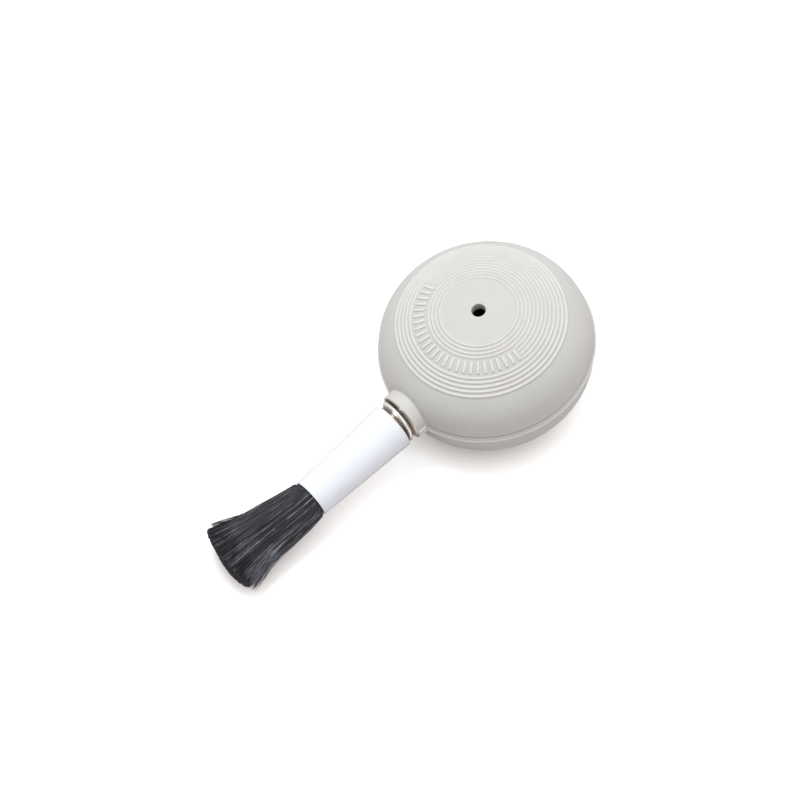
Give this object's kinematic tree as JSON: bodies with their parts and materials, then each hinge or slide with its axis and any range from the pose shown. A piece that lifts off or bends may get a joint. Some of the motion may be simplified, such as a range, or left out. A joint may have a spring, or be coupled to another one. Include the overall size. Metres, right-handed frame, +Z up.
{
  "type": "dust blower bulb",
  "caption": "Hollow rubber blower bulb with finely ringed top, intake hole and threaded neck, with a barrelled hair brush screwed into the neck.",
  "frame": {"origin": "centre of the flat face on the underside of the bulb, on the bulb's axis", "axes": "+Z up the bulb's axis, out through the intake hole; the brush points along -X; +Y completes the right-handed frame"},
  "size_m": [0.1184, 0.057, 0.035],
  "materials": {
    "rubber": "matt moulded rubber, light warm grey",
    "nickel": "bright nickel plate on rolled brass",
    "white_plastic": "gloss white moulded plastic",
    "tube_steel": "drawn stainless tube",
    "resin": "amber brush-maker's resin",
    "binding_thread": "waxed linen thread",
    "hair": "straight dark hair, faint blue sheen"
  },
  "bodies": {
    "bulb": {"bulb_lower": "rubber", "bulb_upper": "rubber"},
    "thumb": {"thumb_pad": "rubber"},
    "blow_tube": {"air_tube": "tube_steel"},
    "brush": {"ferrule": "nickel", "barrel": "white_plastic", "root_resin": "resin", "tuft_binding": "binding_thread", "hair_tuft": "hair"}
  },
  "joints": [
    {"name": "thumb_press", "type": "slide", "parent": "bulb", "child": "thumb", "axis": [0, 0, -1], "range_m": [0, 0.006], "stiffness_N_per_m": 1200, "deforming": ["bulb_upper"]},
    {"name": "brush_draw", "type": "slide", "parent": "bulb", "child": "blow_tube", "axis": [-1, 0, 0], "range_m": [-0.003, 0.0056]},
    {"name": "brush_unscrew", "type": "hinge", "parent": "blow_tube", "child": "brush", "pos_m": [-0.0333, 0, 0.0175], "axis": [1, 0, 0], "range_deg": [-492, 918]}
  ],
  "couplings": [
    {"joint": "brush_unscrew", "follows": "brush_draw", "rad_per_m": 2856}
  ]
}
